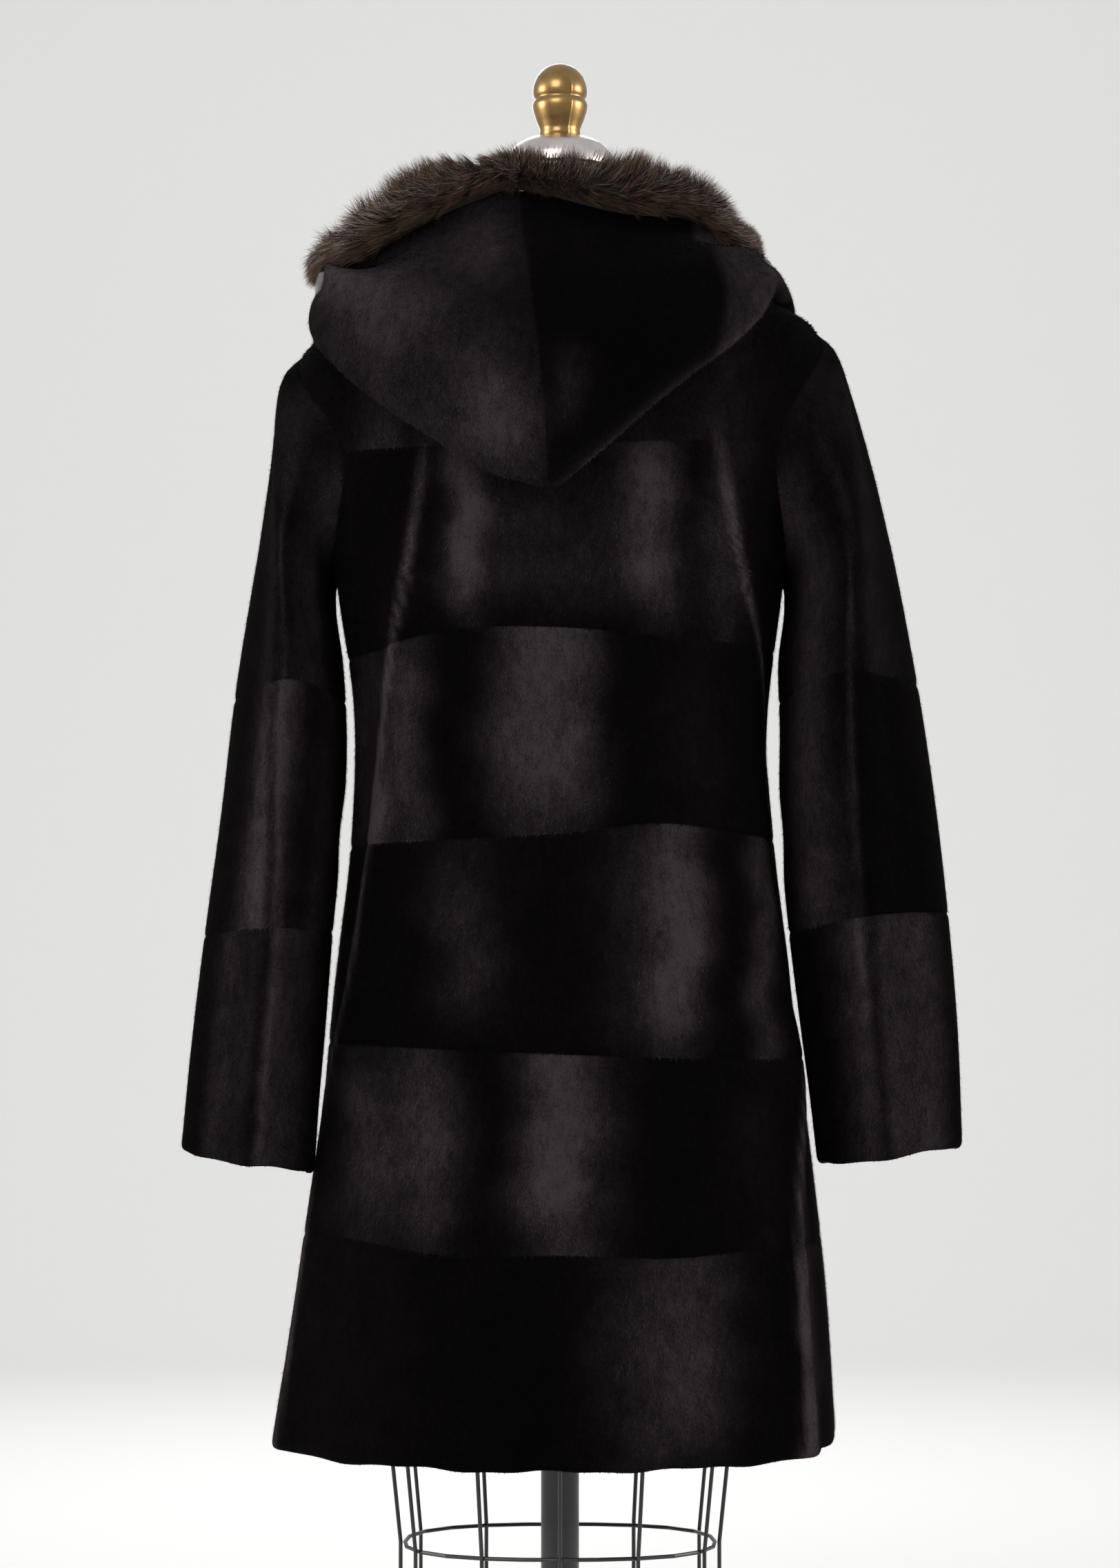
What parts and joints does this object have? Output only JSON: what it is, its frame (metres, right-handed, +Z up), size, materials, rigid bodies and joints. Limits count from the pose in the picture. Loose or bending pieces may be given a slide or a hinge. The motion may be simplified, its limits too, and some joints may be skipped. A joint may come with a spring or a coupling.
{
  "type": "mink coat on dress form",
  "caption": "Knee-length A-line coat of dark sheared mink with long sleeves and a fur-edged hood laid back, hanging on a limbless dress form with a wire cage, a post and a round foot.",
  "frame": {"origin": "centre of the foot's underside, on the floor", "axes": "+Z up, the coat's back faces +Y, the wearer's left is +X"},
  "size_m": [0.6101, 0.3978, 1.5731],
  "materials": {
    "sheared_mink": "clipped dark mink fur with a soft nap",
    "sable_fur": "long brown sable fur",
    "form_cloth": "smooth woven cotton over the form",
    "nickel_plate": "satin nickel plate",
    "gilt_brass": "bright gilt",
    "black_enamel": "black enamel"
  },
  "bodies": {
    "root": {"cage_ring_low": "black_enamel", "cage_ring_middle": "black_enamel", "cage_ring_top": "black_enamel", "cage_wire_01": "black_enamel", "cage_wire_02": "black_enamel", "cage_wire_03": "black_enamel", "cage_wire_04": "black_enamel", "cage_wire_05": "black_enamel", "cage_wire_06": "black_enamel", "cage_wire_07": "black_enamel", "cage_wire_08": "black_enamel", "cage_wire_09": "black_enamel", "cage_wire_10": "black_enamel", "cage_wire_11": "black_enamel", "cage_wire_12": "black_enamel", "coat_back": "sheared_mink", "coat_front_left": "sheared_mink", "coat_front_right": "sheared_mink", "form_base": "black_enamel", "form_finial": "gilt_brass", "form_neck_plate": "nickel_plate", "form_post": "black_enamel", "form_torso": "form_cloth", "hood_left": "sheared_mink", "hood_right": "sheared_mink", "hood_trim": "sable_fur", "sleeve_left": "sheared_mink", "sleeve_right": "sheared_mink"}
  },
  "joints": []
}
